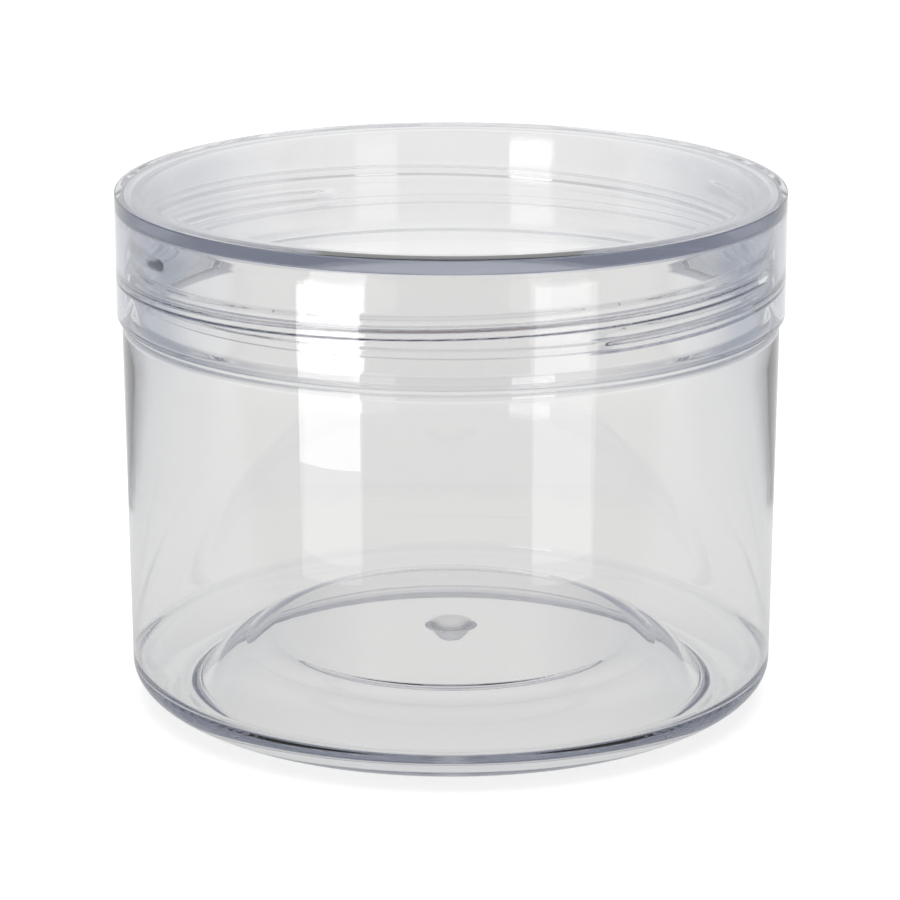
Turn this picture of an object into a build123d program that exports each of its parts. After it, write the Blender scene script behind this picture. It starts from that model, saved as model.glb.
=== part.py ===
from build123d import *
from math import acos, degrees, radians, sin
import os

# Clear plastic storage jar with a clear screw lid, in millimetres.
# The jar stands on z = 0 with its axis on Z. The lid is shown screwed down.
# The front of the jar faces -Y.

# Jar wall
body_radius = 59.1  # outside, at the shoulder
wall_taper = 0.7  # how much smaller the outside radius is at the heel
body_wall = 1.3
shoulder_height = 71.2
shoulder_round = 0.8

# Heel and standing ring
heel_width = 13.2  # radial half axis of the elliptical heel
heel_height = 7.3  # upright half axis of the elliptical heel
inner_heel_width = 9.6
inner_heel_height = 5.9
heel_floor = 2.7  # how thick the plastic is under the trough inside the heel
standing_inset = 10.6  # from the shoulder's radius in to the outer edge of the standing ring
standing_land = 1.3
land_round = 0.6

# Pushed-up base, from the trough inwards. These sizes are those of its upper side, and its
# underside runs beside that at an even distance.
push_wall = 1.3
trough_inset = 1.8  # from the middle of the inner heel in to the foot of the flank
trough_round = 3.0
flank_run = 5.1
flank_rise = 5.7
flank_round = 9.3
ledge_run = 3.8
ledge_rise = 1.3
ledge_round = 0.3
step_run = 2.7
step_rise = 1.8
step_round = 7.3
crown_rise = 0.4
gate_radius = 4.2  # of the boss under the middle, where the plastic came in
gate_tip_radius = 2.2
gate_height = 2.6
gate_round = 0.7

# Neck
neck_height = 19.8  # from the shoulder to the rim
neck_wall = 1.5
inner_shoulder_drop = 1.6  # how far below the shoulder the inside reaches its full width
inner_shoulder_rise = 1.2  # how far above the shoulder it has narrowed to the neck's bore
inner_shoulder_round = 2.5
inner_neck_round = 3.0
neck_root_round = 1.6
rim_round = 0.4
bead_height = 1.6
bead_centre = 5.6  # from the shoulder up to the middle of the ring bead
bead_face = 0.8

# Screw threads: two starts, right hand
thread_starts = 2
thread_lead = 8.47
ridge_width = 1.9
ridge_face = 1.2
sink = 0.4  # how deep the foot of a ridge or bead sits in the wall that carries it
ridge_run_out = 4.0  # length over which a ridge's crest falls away at each end
ridge_end_lip = 0.1  # what is left of its depth there
neck_ridge_depth = 0.8
neck_ridge_turn = 278.0
ridge_angle = -67.0  # where the low ends of the first ridges lie
neck_ridge_rise = 7.7  # from the shoulder up to the middle of a ridge's low end
lid_ridge_depth = 0.75
lid_ridge_turn = 225.0
thread_gap = 0.25  # radial clearance between the two sets of crests

# Lid
lid_overhang = 0.9  # how far the skirt stands out beyond the shoulder
lid_wall = 1.4
lid_panel = 2.6
lid_edge_round = 0.2
lid_corner_round = 0.5
lid_lead_in = 0.4
lid_lead_in_height = 0.8
lid_gap = 0.25  # upright clearance between the skirt and the shoulder

# Sizes that follow from the ones above
lid_radius = body_radius + lid_overhang
standing_radius = body_radius - standing_inset
heel_radius = body_radius - wall_taper
heel_centre_radius = heel_radius - heel_width
heel_angle = degrees(acos((standing_radius - heel_centre_radius) / heel_width))
heel_centre_height = heel_height * sin(radians(heel_angle))
skirt_bore = lid_radius - lid_wall
lid_crest = skirt_bore - lid_ridge_depth
neck_crest = lid_crest - thread_gap
neck_radius = neck_crest - neck_ridge_depth
neck_bore = neck_radius - neck_wall
rim_height = shoulder_height + neck_height
skirt_bottom = shoulder_height + lid_gap
lid_top = rim_height + lid_panel
land_radius = standing_radius - standing_land
inner_body_radius = body_radius - body_wall
inner_heel_radius = inner_body_radius - inner_heel_width
inner_heel_level = heel_floor + inner_heel_height
cavity_shoulder = shoulder_height - inner_shoulder_drop
cavity_neck = shoulder_height + inner_shoulder_rise
bead_middle = shoulder_height + bead_centre
bead_low = bead_middle - bead_height / 2
bead_high = bead_middle + bead_height / 2
neck_ridge_height = shoulder_height + neck_ridge_rise
lid_ridge_height = neck_ridge_height - thread_lead / thread_starts / 2


def axis_distance(edge):
    """How far the middle of an edge is from the jar's axis."""
    middle = edge.center()
    return Vector(middle.X, middle.Y).length


def beneath(outer, corner, inner):
    """The corner of the underside below this corner of the floor: it lies on the bisector of
    the two walls that meet there, so that both are push_wall thick."""
    outer_wall = (corner - outer).normalized()
    inner_wall = (inner - corner).normalized()
    down = Vector(-inner_wall.Y, inner_wall.X)
    bisector = (Vector(-outer_wall.Y, outer_wall.X) + down).normalized()
    return corner + bisector * (push_wall / bisector.dot(down))


# Corners of the pushed-up base, each as (radius, height): first the floor's, then the underside's
trough_foot = Vector(inner_heel_radius - trough_inset, heel_floor)
flank_top = trough_foot + Vector(-flank_run, flank_rise)
step_foot = flank_top + Vector(-ledge_run, ledge_rise)
step_top = step_foot + Vector(-step_run, step_rise)
crown = Vector(0, step_top.Y + crown_rise)
under_flank = beneath(trough_foot, flank_top, step_foot)
under_foot = beneath(flank_top, step_foot, step_top)
under_step = beneath(step_foot, step_top, crown)
gate_edge = crown + Vector(gate_radius, -push_wall)
gate_tip = Vector(gate_tip_radius, gate_edge.Y - gate_height)

# Neck ridge: a trapezoid carried along a helix, from its low end on +X. Its flanks run
# on into the neck wall, so that the two become one, and its crest falls away at each end.
with BuildPart() as neck_ridge:
    with BuildLine() as neck_helix:
        Helix(thread_lead, thread_lead * neck_ridge_turn / 360, neck_radius)
    with BuildSketch(Plane(neck_helix.line @ 0, (1, 0, 0), neck_helix.line % 0)):
        with BuildLine():
            foot = ridge_width / 2 + sink * (ridge_width - ridge_face) / 2 / neck_ridge_depth
            Polyline(
                (-sink, -foot),
                (neck_ridge_depth, -ridge_face / 2),
                (neck_ridge_depth, ridge_face / 2),
                (-sink, foot),
                close=True,
            )
        make_face()
    sweep(path=neck_helix.line, is_frenet=True)
    for end in neck_ridge.faces().filter_by(GeomType.PLANE):
        crest = end.edges().sort_by(axis_distance)[-1]
        chamfer(crest, neck_ridge_depth - ridge_end_lip, ridge_run_out, reference=end)

# Lid ridge: the same form turned inwards, on the inside of the skirt
with BuildPart() as lid_ridge:
    with BuildLine() as lid_helix:
        Helix(thread_lead, thread_lead * lid_ridge_turn / 360, skirt_bore)
    with BuildSketch(Plane(lid_helix.line @ 0, (1, 0, 0), lid_helix.line % 0)):
        with BuildLine():
            foot = ridge_width / 2 + sink * (ridge_width - ridge_face) / 2 / lid_ridge_depth
            Polyline(
                (sink, -foot),
                (-lid_ridge_depth, -ridge_face / 2),
                (-lid_ridge_depth, ridge_face / 2),
                (sink, foot),
                close=True,
            )
        make_face()
    sweep(path=lid_helix.line, is_frenet=True)
    for end in lid_ridge.faces().filter_by(GeomType.PLANE):
        crest = end.edges().sort_by(axis_distance)[0]
        chamfer(crest, lid_ridge_depth - ridge_end_lip, ridge_run_out, reference=end)

# Jar: one moulding. The outside is turned first, with the push-up and the gate boss under the
# base. Then the cavity is taken out, and the ring bead and the ridges are added.
with BuildPart() as jar_body:
    with BuildSketch(Plane.XZ) as outside:
        with BuildLine():
            heel = EllipticalCenterArc(
                (heel_centre_radius, heel_centre_height),
                heel_width,
                heel_height,
                start_angle=-heel_angle,
                arc_size=heel_angle,
            )
            Polyline(
                heel @ 1,
                (body_radius, shoulder_height),
                (neck_radius, shoulder_height),
                (neck_radius, rim_height),
                (0, rim_height),
                (0, gate_tip.Y),
                gate_tip,
                gate_edge,
            )
            TangentArc(gate_edge, under_step, tangent=(1, 0))
            Polyline(under_step, under_foot, under_flank, (land_radius, 0), heel @ 0)
        make_face()
        corners = outside.vertices()
        fillet(corners.sort_by_distance((body_radius, shoulder_height))[0], shoulder_round)
        fillet(corners.sort_by_distance((neck_radius, shoulder_height))[0], neck_root_round)
        fillet(corners.sort_by_distance((neck_radius, rim_height))[0], rim_round)
        fillet(corners.sort_by_distance(gate_tip)[0], gate_round)
        fillet(corners.sort_by_distance(gate_edge)[0], gate_round)
        fillet(corners.sort_by_distance(under_step)[0], step_round - push_wall)
        fillet(corners.sort_by_distance(under_foot)[0], ledge_round + push_wall)
        fillet(corners.sort_by_distance(under_flank)[0], flank_round - push_wall)
        fillet(corners.sort_by_distance((land_radius, 0))[0], land_round)
    revolve(axis=Axis.Z)

    with BuildSketch(Plane.XZ) as cavity:
        with BuildLine():
            inner_heel = EllipticalCenterArc(
                (inner_heel_radius, inner_heel_level),
                inner_heel_width,
                inner_heel_height,
                start_angle=-90,
                arc_size=90,
            )
            Polyline(
                inner_heel @ 1,
                (inner_body_radius, cavity_shoulder),
                (neck_bore, cavity_neck),
                (neck_bore, rim_height),
                (0, rim_height),
                crown,
            )
            TangentArc(crown, step_top, tangent=(1, 0))
            Polyline(step_top, step_foot, flank_top, trough_foot, inner_heel @ 0)
        make_face()
        corners = cavity.vertices()
        fillet(corners.sort_by_distance((inner_body_radius, cavity_shoulder))[0], inner_shoulder_round)
        fillet(corners.sort_by_distance((neck_bore, cavity_neck))[0], inner_neck_round)
        fillet(corners.sort_by_distance(step_top)[0], step_round)
        fillet(corners.sort_by_distance(step_foot)[0], ledge_round)
        fillet(corners.sort_by_distance(flank_top)[0], flank_round)
        fillet(corners.sort_by_distance(trough_foot)[0], trough_round)
    revolve(axis=Axis.Z, mode=Mode.SUBTRACT)

    rim_edge = jar_body.edges().filter_by(GeomType.CIRCLE).group_by(Axis.Z)[-1].sort_by(SortBy.RADIUS)[0]
    fillet(rim_edge, rim_round)

    with BuildSketch(Plane.XZ) as bead:
        with BuildLine():
            Polyline(
                (neck_radius - sink, bead_low),
                (neck_radius, bead_low),
                (neck_crest, bead_middle - bead_face / 2),
                (neck_crest, bead_middle + bead_face / 2),
                (neck_radius, bead_high),
                (neck_radius - sink, bead_high),
                close=True,
            )
        make_face()
    revolve(axis=Axis.Z)

    with Locations((0, 0, neck_ridge_height)):
        with PolarLocations(0, thread_starts, start_angle=ridge_angle):
            add(neck_ridge.part)
jar_body.part.label = "jar_body"

# Lid: one moulding, a flat panel with a straight skirt and ridges on its inside
with BuildPart() as lid:
    with BuildSketch(Plane.XZ) as shell:
        with BuildLine():
            Polyline(
                (0, lid_top),
                (lid_radius, lid_top),
                (lid_radius, skirt_bottom),
                (skirt_bore + lid_lead_in, skirt_bottom),
                (skirt_bore, skirt_bottom + lid_lead_in_height),
                (skirt_bore, rim_height),
                (0, rim_height),
                close=True,
            )
        make_face()
        corners = shell.vertices()
        fillet(corners.sort_by_distance((lid_radius, lid_top))[0], lid_edge_round)
        fillet(corners.sort_by_distance((skirt_bore, rim_height))[0], lid_corner_round)
    revolve(axis=Axis.Z)

    with Locations((0, 0, lid_ridge_height)):
        with PolarLocations(0, thread_starts, start_angle=ridge_angle):
            add(lid_ridge.part)
lid.part.label = "lid"

os.makedirs("parts", exist_ok=True)
export_step(jar_body.part, "parts/jar_body.step")
export_step(lid.part, "parts/lid.step")
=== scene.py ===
import bpy
import numpy as np
from mathutils import Euler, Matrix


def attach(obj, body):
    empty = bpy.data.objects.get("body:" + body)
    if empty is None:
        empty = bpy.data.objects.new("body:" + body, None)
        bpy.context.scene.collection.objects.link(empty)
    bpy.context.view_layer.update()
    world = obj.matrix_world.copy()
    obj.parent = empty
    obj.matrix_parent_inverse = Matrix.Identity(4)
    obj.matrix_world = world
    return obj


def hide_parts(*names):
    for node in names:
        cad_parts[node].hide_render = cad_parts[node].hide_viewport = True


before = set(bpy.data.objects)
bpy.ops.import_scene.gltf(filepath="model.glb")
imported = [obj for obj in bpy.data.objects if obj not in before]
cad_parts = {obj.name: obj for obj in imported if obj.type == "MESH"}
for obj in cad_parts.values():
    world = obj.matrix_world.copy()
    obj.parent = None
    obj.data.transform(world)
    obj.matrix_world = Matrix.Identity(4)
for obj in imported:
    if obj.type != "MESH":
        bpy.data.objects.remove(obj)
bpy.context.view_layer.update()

# The jar. One blown moulding of clear PET with a wall of 1.3 mm: a straight side with a slight draft, a soft
# elliptical heel, a standing ring, a base pushed up to a round plateau with the gate mark in its middle, and
# a neck with a ring bead and two helical ridges that the lid screws onto. Sizes are in millimetres.


def cornered(points, radii, steps):
    """The line through these points, each corner made a tangent arc: its centre is on the corner's bisector
    at radius / sin(half angle), and its points swing evenly from the first tangent point to the second."""
    points = np.array(points, float)
    before = points[:-2] - points[1:-1]
    after = points[2:] - points[1:-1]
    before /= np.linalg.norm(before, axis=1)[:, None]
    after /= np.linalg.norm(after, axis=1)[:, None]
    half = np.arccos(np.clip((before * after).sum(1), -1, 1)) / 2
    radii = np.array(radii, float)
    bisector = (before + after) / np.linalg.norm(before + after, axis=1)[:, None]
    centre = points[1:-1] + bisector * (radii / np.sin(half))[:, None]
    reach = (radii / np.tan(half))[:, None]
    first = points[1:-1] + before * reach - centre
    last = points[1:-1] + after * reach - centre
    sweep = (np.pi - 2 * half)[:, None]
    part = np.linspace(0, 1, steps)[None, :]
    from_first = np.sin((1 - part) * sweep)[..., None] * first[:, None]
    from_last = np.sin(part * sweep)[..., None] * last[:, None]
    arcs = centre[:, None] + (from_first + from_last) / np.sin(sweep)[..., None]
    line = np.concatenate([points[:1], arcs.reshape(-1, 2), points[-1:]])
    return line[np.append(True, np.linalg.norm(np.diff(line, axis=0), axis=1) > 1e-6)]


def ellipse(centre, axes, first, last, steps):
    """Points round an ellipse from the first angle to the last, in degrees."""
    turn = np.radians(np.linspace(first, last, steps))[:, None]
    return np.array(centre) + np.hstack([np.cos(turn), np.sin(turn)]) * axes


def beside(points, distance):
    """The corners of the line that runs beside this one at an even distance, each moved on its bisector."""
    points = np.array(points, float)
    step = np.diff(points, axis=0)
    across = np.stack([step[:, 1], -step[:, 0]], axis=1) / np.linalg.norm(step, axis=1)[:, None]
    bisector = across[:-1] + across[1:]
    bisector /= np.linalg.norm(bisector, axis=1)[:, None]
    return points[1:-1] + distance * bisector / (bisector * across[1:]).sum(1)[:, None]


def filled(line, longest):
    """The same line with even points added, so that no step is longer than longest."""
    step = np.diff(line, axis=0)
    count = np.ceil(np.linalg.norm(step, axis=1) / longest - 1e-9).astype(int)
    start = np.repeat(np.arange(len(count)), count)
    share = (np.arange(count.sum()) - np.repeat(np.cumsum(count) - count, count)) / np.repeat(count, count)
    return np.concatenate([line[start] + share[:, None] * step[start], line[-1:]])


def smooth(x):
    """0 below 0 and 1 above 1, with 3x^2 - 2x^3 between them."""
    x = np.clip(x, 0, 1)
    return x * x * (3 - 2 * x)


def raised(over, above, face, below):
    """How far up a ridge is at this height over its middle: 1 on its face, and 1 - smooth(distance from the
    face / flank) off it, with a flank above and one below."""
    return 1 - smooth(np.maximum((over - face / 2) / above, (-over - face / 2) / below))


def ridged(heights, low_end, turn, above, face, below):
    """How far up its two helical ridges each point is, from 0 on the wall to 1 on the crest. The low ends are
    half a turn apart, a ridge's middle rises by lead in a full turn, and each end falls away smoothly."""
    spare = (360 - turn) / 2
    level = np.zeros_like(heights)
    for n in range(starts):
        along = (angle - (first_angle + 180 * n) + spare) % 360 - spare
        over = heights - (low_end + lead * along / 360)
        ends = smooth(along / run_out) * smooth((turn - along) / run_out)
        level = np.maximum(level, raised(over, above, face, below) * ends)
    return level


def upright(rows):
    """These heights at every angle round the axis."""
    return np.repeat(rows[:, None], columns, 1)


def turned(name, bands):
    """A closed surface turned about Z, in millimetres. A band is a line of radii and heights, or a radius and
    a height for each row and angle. The first and last rows close on a point on the axis."""
    bands = [(upright(b[:, 0]), upright(b[:, 1])) if isinstance(b, np.ndarray) else b for b in bands]
    radius, height = (np.concatenate(grids) for grids in zip(*bands))
    rows = len(radius)
    turn = np.radians(angle)[None, :]
    grid = np.stack([radius * np.cos(turn), radius * np.sin(turn), height], axis=2) / 1000
    poles = np.array([[0, 0, height[0].mean()], [0, 0, height[-1].mean()]]) / 1000
    inner = grid[1:-1].reshape(-1, 3)
    points = np.concatenate([inner, poles])
    i, j = np.meshgrid(np.arange(rows - 3), np.arange(columns), indexing="ij")
    low, high, k = i * columns, (i + 1) * columns, (j + 1) % columns
    quads = np.stack([low + j, low + k, high + k, high + j], axis=2)
    j, k, last = np.arange(columns), (np.arange(columns) + 1) % columns, (rows - 3) * columns
    first_fan = np.stack([k, j, np.full(columns, len(inner))], axis=1)
    last_fan = np.stack([last + j, last + k, np.full(columns, len(inner) + 1)], axis=1)
    corners = np.concatenate([quads.ravel(), first_fan.ravel(), last_fan.ravel()])
    sides = np.concatenate([np.full(quads.shape[0] * columns, 4), np.full(2 * columns, 3)])
    mesh = bpy.data.meshes.new(name)
    mesh.vertices.add(len(points))
    mesh.vertices.foreach_set("co", points.ravel())
    mesh.loops.add(len(corners))
    mesh.loops.foreach_set("vertex_index", corners)
    mesh.polygons.add(len(sides))
    mesh.polygons.foreach_set("loop_start", np.cumsum(sides) - sides)
    mesh.polygons.foreach_set("use_smooth", np.ones(len(sides), bool))
    mesh.update(calc_edges=True)
    piece = bpy.data.objects.new(name, mesh)
    bpy.context.collection.objects.link(piece)
    return piece


class Signal:
    """A socket in a node tree. Arithmetic on it adds Math nodes, and node() adds any other kind."""

    def __init__(self, tree, socket=None):
        self.tree, self.socket = tree, socket

    def node(self, kind, settings=None, inputs=None, output=0):
        """Adds a node: first its settings, then each input's value or link by name or number."""
        made = self.tree.nodes.new(kind)
        for key, value in (settings or {}).items():
            if key == "stops":
                ramp = made.color_ramp
                while len(ramp.elements) < len(value):
                    ramp.elements.new(0.5)
                for element, (place, colour) in zip(ramp.elements, value):
                    element.position, element.color = place, colour
            else:
                setattr(made, key, value)
        for key, value in (inputs or {}).items():
            if isinstance(value, Signal):
                self.tree.links.new(value.socket, made.inputs[key])
            else:
                made.inputs[key].default_value = value
        return Signal(self.tree, made.outputs[output] if len(made.outputs) else None)

    def slope(self, low, high, start, end):
        """Start where this signal is low, end where it is high, and a straight line between them."""
        return self.node("ShaderNodeMapRange", {}, {0: self, 1: low, 2: high, 3: start, 4: end})

    def blend(self, first, second):
        """A colour that goes from the first to the second as this signal goes from 0 to 1."""
        return self.node("ShaderNodeMix", {"data_type": "RGBA"}, {0: self, 6: first, 7: second}, 2)

    def maths(self, operation, a, b):
        return self.node("ShaderNodeMath", {"operation": operation}, {0: a, 1: b})

    def __add__(self, other):
        return self.maths("ADD", self, other)

    def __rsub__(self, other):
        return self.maths("SUBTRACT", other, self)

    def __mul__(self, other):
        return self.maths("MULTIPLY", self, other)

    def __abs__(self):
        return self.maths("ABSOLUTE", self, 0.0)


def empty_tree(owner):
    """The owner's node tree, cleared, as a signal that nodes can be added to."""
    owner.use_nodes = True
    owner.node_tree.nodes.clear()
    return Signal(owner.node_tree)


def clear_plastic(name, tint, bend, grain, mark):
    """A clear moulded plastic: light goes through it and is taken up slowly on the way, so that a wall stays
    clear and an edge, where light runs along inside, turns blue-grey. Faint flow waves from the mould lie in
    its surface, and handling has left it a little less glossy in soft patches. Mark is the roughness left
    round the axis, within 4.8 mm of it, where the plastic came into the mould."""
    material = bpy.data.materials.new(name)
    new = empty_tree(material)
    place = new.node("ShaderNodeTexCoord", output="Object")
    patches = new.node(
        "ShaderNodeTexNoise", {}, {"Vector": place, "Scale": 38.0, "Detail": 4.0, "Roughness": 0.6}
    )
    wiped = patches.slope(0.45, 0.75, 0.0, 0.03)
    level = new.node("ShaderNodeVectorMath", {"operation": "MULTIPLY"}, {0: place, 1: (1.0, 1.0, 0.0)})
    out = new.node("ShaderNodeVectorMath", {"operation": "LENGTH"}, {0: level}, "Value")
    frosted = out.slope(0.0032, 0.0048, mark, 0.0)
    flat = new.node("ShaderNodeMapping", {}, {"Vector": place, "Scale": (9.0, 9.0, 60.0)})
    flow = new.node("ShaderNodeTexNoise", {}, {"Vector": flat, "Scale": 1.0, "Detail": 2.0, "Roughness": 0.5})
    normal = new.node("ShaderNodeBump", {}, {"Strength": 1.0, "Distance": grain, "Height": flow})
    shader = new.node(
        "ShaderNodeBsdfPrincipled",
        {},
        {
            "Base Color": (*tint, 1),
            "Roughness": wiped + frosted,
            "IOR": bend,
            "Transmission Weight": 1.0,
            "Normal": normal,
        },
    )
    body = new.node("ShaderNodeVolumeAbsorption", {}, {"Color": (0.3, 0.34, 0.46, 1), "Density": 10.3})
    new.node("ShaderNodeOutputMaterial", {}, {"Surface": shader, "Volume": body})
    return material


columns = 288
angle = np.arange(columns) * 360 / columns
starts = 2
lead = 8.47
first_angle = -67.0
run_out = 5.0

body_radius = 59.05
wall = 1.3
shoulder = 71.2
shoulder_round = 0.8
neck_radius = 56.8
neck_root_round = 1.6
neck_wall_width = 1.5
rim = 90.95
rim_round = 0.4
bore = neck_radius - neck_wall_width
inner_shoulder_drop = 1.6
inner_shoulder_rise = 1.2
inner_shoulder_round = 2.5
inner_neck_round = 3.0

# The upper side of the pushed-up base has these corners, from the plateau out to the heel. Its underside runs
# beside it, and the gate stands out below its middle.
floor_corners = [(28.0, 11.6), (34.8, 11.5), (37.5, 9.7), (41.3, 8.4), (46.4, 2.7)]
floor_rounds = (3.0, 9.3, 0.3, 7.3)
under_corners = beside(floor_corners, wall)
under_rounds = (6.0, 1.6, 8.0, 0.6)
standing_ring = [(47.2, 0), (48.3, 0)]
crown = 11.9
gate_height = 2.6
gate_foot = 4.8
gate_flank = 3.2
across = np.concatenate([[0, 2], np.linspace(2.8, 6, 12), np.linspace(8, 27, 6)])[:, None]
gate = gate_height * smooth((gate_foot - across) / gate_flank)
bow = 0.5 * (across / 35) ** 2
under_crown = np.hstack([across, crown - wall - gate - bow])
over_crown = np.hstack([across, crown - bow])[::-1]

heel_centre, heel_axes = (45.2, 7.07), (13.15, 7.3)
heel_foot = -75.5
inner_heel_centre, inner_heel_axes = (48.2, 8.6), (9.55, 5.9)
heel = ellipse(heel_centre, heel_axes, heel_foot, 0, 22)
inner_heel = ellipse(inner_heel_centre, inner_heel_axes, 0, -90, 22)
push_up = cornered([under_crown[-1], *under_corners, *standing_ring], under_rounds, 9)
floor_line = cornered([inner_heel[-1], *floor_corners[::-1]], floor_rounds, 9)
side = cornered(
    [heel[-1], (body_radius, shoulder), (neck_radius, shoulder), (neck_radius, shoulder + 4)],
    (shoulder_round, neck_root_round),
    7,
)
inner_side = cornered(
    [
        (bore, rim - 3),
        (bore, shoulder + inner_shoulder_rise),
        (body_radius - wall, shoulder - inner_shoulder_drop),
        inner_heel[0],
    ],
    (inner_neck_round, inner_shoulder_round),
    9,
)
lip = cornered(
    [(neck_radius, rim - 2), (neck_radius, rim), (bore, rim), (bore, rim - 2)], (rim_round, rim_round), 6
)[1:-1]
outside = np.concatenate([under_crown[:-1], filled(push_up, 4), heel, filled(side[1:-1], 5)])
inside = np.concatenate(
    [filled(inner_side, 4)[:-1], inner_heel[:-1], filled(floor_line, 4)[:-1], over_crown]
)

neck_ridge_depth = 0.8
neck_ridge_turn = 278.0
neck_ridge_low = shoulder + 7.7
bead_middle = 6.0
threaded = np.linspace(shoulder + 4.7, shoulder + 15.7, 114)
neck_rows = upright(np.concatenate([[shoulder + 3], threaded, [rim - 3, rim - 1.5]]))
ridges = ridged(neck_rows, neck_ridge_low, neck_ridge_turn, above=1.0, face=0.6, below=1.0)
bead = raised(neck_rows - shoulder - bead_middle, above=0.2, face=1.2, below=0.4)
neck_wall = neck_radius + neck_ridge_depth * np.maximum(ridges, bead)

jar = turned("jar_moulding", [outside, (neck_wall, neck_rows), np.concatenate([lip, inside])])
pet = clear_plastic("clear_pet", (0.97, 0.97, 0.965), 1.57, grain=0.00004, mark=0.45)
jar.data.materials.append(pet)
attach(jar, "jar")
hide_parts("jar_body")

# The lid. One clear polystyrene moulding: a flat panel 2.6 mm thick and a straight skirt of 1.4 mm, with two
# helical ridges inside that catch under the ridges of the neck.
lid_radius = 59.97
top = 93.6
panel_bottom = 91.0
panel_edge = 57
skirt_bore = 58.6
skirt_bottom = shoulder + 0.25
lead_in = 0.4
lead_in_height = 0.8
inner_corner_round = 0.5
outer_corner_round = 0.2
lead_in_round = 0.2
foot_round = 0.15
lid_ridge_depth = 0.75
lid_ridge_turn = 225.0
lid_ridge_low = neck_ridge_low - lead / starts / 2

panel = np.hstack([np.linspace(0, panel_edge, 6)[:, None], np.full((6, 1), panel_bottom)])
under = cornered(
    [(panel_edge, panel_bottom), (skirt_bore, panel_bottom), (skirt_bore, panel_bottom - 2)],
    (inner_corner_round,),
    8,
)[1:-1]
foot = cornered(
    [
        (skirt_bore, skirt_bottom + 2),
        (skirt_bore, skirt_bottom + lead_in_height),
        (skirt_bore + lead_in, skirt_bottom),
        (lid_radius, skirt_bottom),
        (lid_radius, top),
        (0, top),
    ],
    (lead_in_round, foot_round, outer_corner_round, outer_corner_round),
    6,
)[1:]
threaded = np.linspace(shoulder + 12.9, shoulder + 2.3, 110)
bore_rows = upright(np.concatenate([[rim - 2, rim - 4.5], threaded]))
ridges = ridged(bore_rows, lid_ridge_low, lid_ridge_turn, above=1.4, face=0.6, below=0.35)
bore_wall = skirt_bore - lid_ridge_depth * ridges

lid = turned("lid_moulding", [np.concatenate([panel, under]), (bore_wall, bore_rows), filled(foot, 5)])
styrene = clear_plastic("clear_polystyrene", (0.99, 0.99, 0.99), 1.59, grain=0.00002, mark=0.0)
lid.data.materials.append(styrene)
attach(lid, "lid")
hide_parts("lid")

# The studio, in metres: a white sweep that stands up behind the jar, two tall softboxes in front of it to the
# left and right, a broad one overhead, and the camera at the photograph's height. Seen through the plastic,
# the sweep is painted darker at both sides and painted dark in front for light that has turned back inside,
# and its brightness there and in reflections is painted light and shade.
sweep_line = cornered([(-4.0, 0.0), (1.2, 0.0), (1.2, 0.56)], (0.4,), 16)
places = np.linspace(-4, 4, 9)
grid = np.stack(
    [
        np.repeat(places[None, :], len(sweep_line), 0),
        np.repeat(sweep_line[:, :1], len(places), 1),
        np.repeat(sweep_line[:, 1:], len(places), 1),
    ],
    axis=2,
)
i, j = np.meshgrid(np.arange(len(sweep_line) - 1), np.arange(len(places) - 1), indexing="ij")
corner = i * len(places) + j
faces = np.stack([corner, corner + 1, corner + 1 + len(places), corner + len(places)], axis=2).reshape(-1, 4)
mesh = bpy.data.meshes.new("sweep")
mesh.from_pydata(grid.reshape(-1, 3).tolist(), [], faces.tolist())
mesh.polygons.foreach_set("use_smooth", np.ones(len(faces), bool))
sweep = bpy.data.objects.new("sweep", mesh)
bpy.context.collection.objects.link(sweep)

paper = bpy.data.materials.new("white_sweep")
new = empty_tree(paper)
straight = new.node("ShaderNodeLightPath", output="Is Camera Ray")
through = new.node("ShaderNodeLightPath", output="Is Transmission Ray")
glanced = new.node("ShaderNodeLightPath", output="Is Glossy Ray")
bounces = new.node("ShaderNodeLightPath", output="Glossy Depth")
place = new.node("ShaderNodeTexCoord", output="Object")
depth = new.node("ShaderNodeSeparateXYZ", {}, {"Vector": place}, output="Y")
width = new.node("ShaderNodeSeparateXYZ", {}, {"Vector": place}, output="X")
off_axis = abs(width)
azimuth = new.maths("ARCTAN2", off_axis, depth)

# Painted shade, seen only through the plastic: the sweep is painted grey behind the jar towards both sides,
# blue further round at each side, and dark brown in front of the jar for light that has turned back inside
# the plastic. This gives the plastic's edges and threads their dark lines.
white = (1, 1, 1, 1)
painted_side_shade_grey = (0.47, 0.49, 0.56, 1)
painted_side_shade_blue = (0.2, 0.3, 0.45, 1)
painted_front_shade_brown = (0.12, 0.06, 0.06, 1)
away = (width * width + depth * depth).slope(0.04, 0.08, 0.0, 1.0)
aside = away * azimuth.slope(0.92, 1.12, 0.0, 1.0) * azimuth.slope(1.2, 1.4, 1.0, 0.0)
far_side = off_axis.slope(0.055, 0.13, 0.0, 1.0) * depth.slope(0.03, 0.12, 0.0, 1.0)
ahead = depth.slope(-0.07, -0.1, 0.0, 1.0)
turned_back = ahead * through * new.maths("MINIMUM", bounces, 1.0)
painted_shade_colour = (far_side * through).blend(white, painted_side_shade_grey)
painted_shade_colour = turned_back.blend(painted_shade_colour, painted_front_shade_brown)
painted_shade_colour = (aside * through).blend(painted_shade_colour, painted_side_shade_blue)

# Painted light and shade: the sweep's brightness through the plastic, by how far behind the jar's axis it
# lies.
brightness = [
    (-0.04, 0.75), (-0.012, 0.75), (0.004, 0.81), (0.05, 0.82), (0.12, 0.84),
    (0.16, 0.86), (0.2, 0.91), (0.32, 1.0), (0.42, 0.82), (0.45, 0.86),
]
ramp_scale = 2.0
ramp_start = 0.1
stops = [(y * ramp_scale + ramp_start, (level, level, level, 1)) for y, level in brightness]
painted_floor_light = new.node("ShaderNodeValToRGB", {"stops": stops}, {"Fac": depth * ramp_scale + ramp_start})
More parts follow.
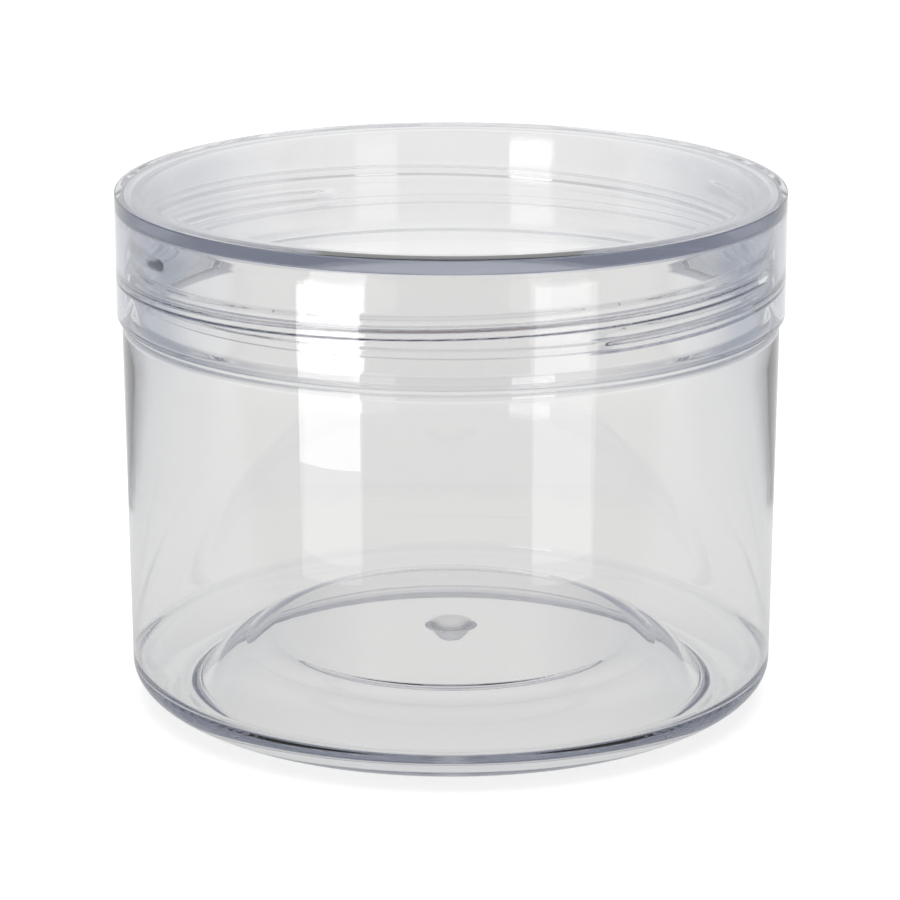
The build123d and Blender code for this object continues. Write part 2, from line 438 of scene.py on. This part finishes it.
# Painted reflection light: in reflections the sweep is painted brighter the further behind the jar it lies.
painted_reflection_level = depth.slope(0.0, 0.2, 0.6, 1.0)
floor_white = 0.8
lit = straight * floor_white + through * painted_floor_light + glanced * (1 - through) * painted_reflection_level

tone = straight.blend((0, 0, 0, 1), (0.3, 0.3, 0.3, 1))
matt = new.node("ShaderNodeBsdfDiffuse", {}, {"Color": tone})
lift = new.node("ShaderNodeEmission", {}, {"Color": painted_shade_colour, "Strength": lit})
both = new.node("ShaderNodeAddShader", {}, {0: matt, 1: lift})
new.node("ShaderNodeOutputMaterial", {}, {"Surface": both})
sweep.data.materials.append(paper)

world = bpy.data.worlds.new("studio_air")
bpy.context.scene.world = world
new = empty_tree(world)
facing = new.node("ShaderNodeTexCoord", output="Generated")
upward = new.node("ShaderNodeSeparateXYZ", {}, {"Vector": facing}, output="Z")
sky = [
    (0.05, (0.16, 0.23, 0.35, 1)),
    (0.25, (0.22, 0.26, 0.35, 1)),
    (0.6, (0.42, 0.42, 0.47, 1)),
    (0.95, (0.9, 0.9, 0.95, 1)),
]
air = new.node("ShaderNodeValToRGB", {"stops": sky}, {"Fac": upward})
room = new.node("ShaderNodeBackground", {}, {"Color": air, "Strength": 1.0})
new.node("ShaderNodeOutputWorld", {}, {"Surface": room})


def softbox(name, place, size, facing, power):
    """A flat lamp of this width and height, turned from its place to face a point."""
    lamp = bpy.data.lights.new(name, "AREA")
    lamp.shape, lamp.size, lamp.size_y, lamp.energy = "RECTANGLE", *size, power
    box = bpy.data.objects.new(name, lamp)
    bpy.context.collection.objects.link(box)
    box.location = place
    aim = np.array(facing) - np.array(place)
    flat = np.hypot(aim[0], aim[1])
    box.rotation_euler = Euler((np.pi / 2 + np.arctan2(aim[2], flat), 0, np.arctan2(-aim[0], aim[1])))
    box.visible_camera = False
    return box


softbox("left_softbox_high", (-0.101, -0.145, 0.045), (0.058, 0.028), (0, 0, 0.045), 0.016)
softbox("left_softbox_low", (-0.102, -0.146, 0.03), (0.058, 0.06), (0, 0, 0.03), 0.012)
softbox("right_softbox", (0.096, -0.15, 0.03), (0.058, 0.06), (0, 0, 0.03), 0.012)
overhead = softbox("top_softbox", (0, 0.1, 1.3), (1.2, 1.2), (0, 0.1001, 0), 16)
overhead.visible_glossy = False
overhead.visible_transmission = False

eye = bpy.data.cameras.new("camera")
eye.sensor_width = 36.0
eye.lens = 156.7
eye.shift_x = -1 / 900
eye.clip_start, eye.clip_end = 0.05, 20
camera = bpy.data.objects.new("camera", eye)
bpy.context.collection.objects.link(camera)
camera.location = (0, -0.6857, 0.23737)
camera.rotation_euler = Euler((np.radians(74.3), 0, 0))
scene = bpy.context.scene
scene.camera = camera
scene.view_settings.view_transform = "Standard"
scene.cycles.max_bounces = 48
scene.cycles.transmission_bounces = 48
scene.cycles.glossy_bounces = 48
